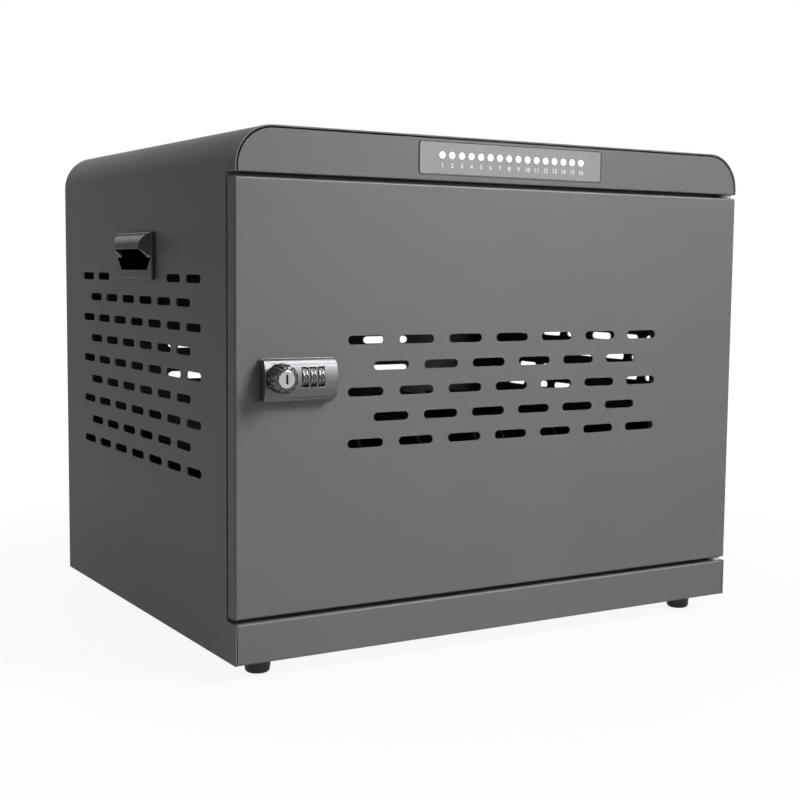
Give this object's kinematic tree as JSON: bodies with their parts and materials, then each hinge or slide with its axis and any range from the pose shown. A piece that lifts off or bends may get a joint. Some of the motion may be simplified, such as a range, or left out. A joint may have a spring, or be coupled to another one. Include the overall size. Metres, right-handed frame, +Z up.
{
  "type": "charging cabinet",
  "caption": "Lockable sheet-metal charging cabinet with a vented hinged door, upright device bays and side scoop handles.",
  "frame": {"origin": "on the floor, under the middle of the whole cabinet's box", "axes": "+X to the right seen from the door side, +Y from the door to the back, +Z up"},
  "size_m": [0.4692, 0.3918, 0.38],
  "materials": {
    "painted_steel": "fine satin powder coat, dark grey",
    "painted_black": "matt black coat",
    "black_rubber": "matt moulded",
    "zinc_steel": "bright zinc plated",
    "black_plastic": "fine moulded grain",
    "handle_plastic": "semi-gloss moulded",
    "rocker_plastic": "polished",
    "nickel_pins": "nickel plated",
    "panel_grey": "smooth satin film, lighter grey",
    "lamp_white": "white diffusing lens",
    "board_green": "solder mask",
    "white_nylon": "natural nylon",
    "satin_zinc": "satin nickel on cast zinc",
    "dark_chrome": "chrome plated, fluted",
    "bright_chrome": "polished chrome",
    "dial_metal": "satin nickel with filled digits"
  },
  "bodies": {
    "cabinet": {"outer_wrap": "painted_steel", "header_panel": "painted_steel", "base_pan": "painted_steel", "left_jamb": "painted_steel", "right_jamb": "painted_steel", "back_panel": "painted_steel", "feet": "black_rubber", "foot_screws": "zinc_steel", "device_tray": "painted_steel", "dividers": "black_plastic", "charger_housing": "painted_black", "charger_cover": "painted_black", "usb_sockets": "nickel_pins", "charger_studs": "zinc_steel", "inlet_module": "black_plastic", "inlet_pins": "nickel_pins", "left_handle": "handle_plastic", "right_handle": "handle_plastic", "indicator_bezel": "panel_grey", "indicator_lenses": "lamp_white", "indicator_board": "board_green", "board_spacers": "white_nylon", "hinge_pins": "zinc_steel", "hinge_washers": "white_nylon", "door_bumpers": "black_rubber", "strike_plate": "zinc_steel"},
    "door": {"door_panel": "painted_steel", "door_stiffeners": "painted_steel", "hinge_blocks": "white_nylon", "lock_base": "black_plastic", "lock_housing": "satin_zinc", "lock_back_plate": "zinc_steel", "lock_nut": "zinc_steel", "dial_axle": "zinc_steel"},
    "knob": {"turn_knob": "dark_chrome", "lock_cam": "zinc_steel", "cam_screw": "zinc_steel"},
    "plug": {"key_plug": "bright_chrome"},
    "dial_a": {"dial_1": "dial_metal"},
    "dial_b": {"dial_2": "dial_metal"},
    "dial_c": {"dial_3": "dial_metal"},
    "fuse": {"fuse_drawer": "black_plastic"},
    "rocker": {"power_rocker": "rocker_plastic"}
  },
  "joints": [
    {"name": "door_hinge", "type": "hinge", "parent": "cabinet", "child": "door", "pos_m": [0.2195, -0.16637, 0.195], "axis": [0, 0, 1], "range_deg": [0, 110]},
    {"name": "knob_turn", "type": "hinge", "parent": "door", "child": "knob", "pos_m": [-0.1973, -0.18387, 0.2107], "axis": [0, 1, 0], "range_deg": [0, 90]},
    {"name": "key_turn", "type": "hinge", "parent": "knob", "child": "plug", "pos_m": [-0.1973, -0.18887, 0.2107], "axis": [0, 1, 0], "range_deg": [0, 90]},
    {"name": "dial_a_turn", "type": "hinge", "parent": "door", "child": "dial_a", "pos_m": [-0.1775, -0.17747, 0.2107], "axis": [1, 0, 0], "continuous": true},
    {"name": "dial_b_turn", "type": "hinge", "parent": "door", "child": "dial_b", "pos_m": [-0.1713, -0.17747, 0.2107], "axis": [1, 0, 0], "continuous": true},
    {"name": "dial_c_turn", "type": "hinge", "parent": "door", "child": "dial_c", "pos_m": [-0.1651, -0.17747, 0.2107], "axis": [1, 0, 0], "continuous": true},
    {"name": "fuse_slide", "type": "slide", "parent": "cabinet", "child": "fuse", "axis": [0, 1, 0], "range_m": [0, 0.01]},
    {"name": "rocker_tilt", "type": "hinge", "parent": "cabinet", "child": "rocker", "pos_m": [0.165, 0.18813, 0.331], "axis": [1, 0, 0], "range_deg": [-16, 0]}
  ]
}
